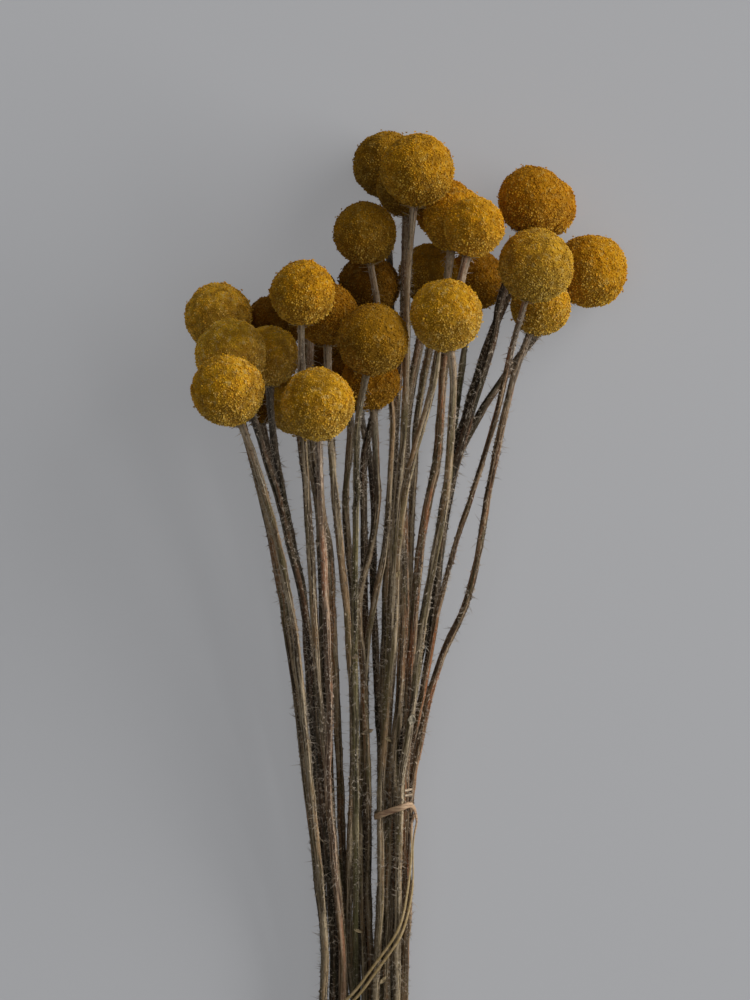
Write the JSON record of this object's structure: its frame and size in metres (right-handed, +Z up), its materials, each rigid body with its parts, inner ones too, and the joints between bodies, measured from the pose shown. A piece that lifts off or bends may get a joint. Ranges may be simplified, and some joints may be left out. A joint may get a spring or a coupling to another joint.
{
  "type": "dried billy button bunch",
  "caption": "Lying bunch of dried billy buttons: round yellow flower heads on long thin woolly stems that fan out from a rubber band near their cut ends.",
  "frame": {"origin": "on the table, under the middle of the bunch's outline", "axes": "+Z up from the table, +Y along the stems towards the flower heads, +X to the right of someone who looks down with the heads at the top"},
  "size_m": [0.1686, 0.488, 0.097],
  "materials": {
    "flower_head": "dry, matt, grainy",
    "dry_stem": "dry, woolly, matt",
    "rubber_band": "satin"
  },
  "bodies": {
    "root": {"flower_06": "flower_head", "flower_07": "flower_head", "flower_15": "flower_head", "head_01": "flower_head", "head_02": "flower_head", "head_03": "flower_head", "head_04": "flower_head", "head_05": "flower_head", "head_08": "flower_head", "head_09": "flower_head", "head_10": "flower_head", "head_11": "flower_head", "head_12": "flower_head", "head_13": "flower_head", "head_14": "flower_head", "head_16": "flower_head", "head_17": "flower_head", "head_18": "flower_head", "head_19": "flower_head", "head_20": "flower_head", "head_21": "flower_head", "head_22": "flower_head", "head_23": "flower_head", "head_24": "flower_head", "head_25": "flower_head", "head_26": "flower_head", "head_27": "flower_head", "head_28": "flower_head", "head_29": "flower_head", "head_30": "flower_head", "head_31": "flower_head", "rubber_band": "rubber_band", "stem_01": "dry_stem", "stem_02": "dry_stem", "stem_03": "dry_stem", "stem_04": "dry_stem", "stem_05": "dry_stem", "stem_08": "dry_stem", "stem_09": "dry_stem", "stem_10": "dry_stem", "stem_11": "dry_stem", "stem_12": "dry_stem", "stem_13": "dry_stem", "stem_14": "dry_stem", "stem_16": "dry_stem", "stem_17": "dry_stem", "stem_18": "dry_stem", "stem_19": "dry_stem", "stem_20": "dry_stem", "stem_21": "dry_stem", "stem_22": "dry_stem", "stem_23": "dry_stem", "stem_24": "dry_stem", "stem_25": "dry_stem", "stem_26": "dry_stem", "stem_27": "dry_stem", "stem_28": "dry_stem", "stem_29": "dry_stem", "stem_30": "dry_stem", "stem_31": "dry_stem"}
  },
  "joints": []
}
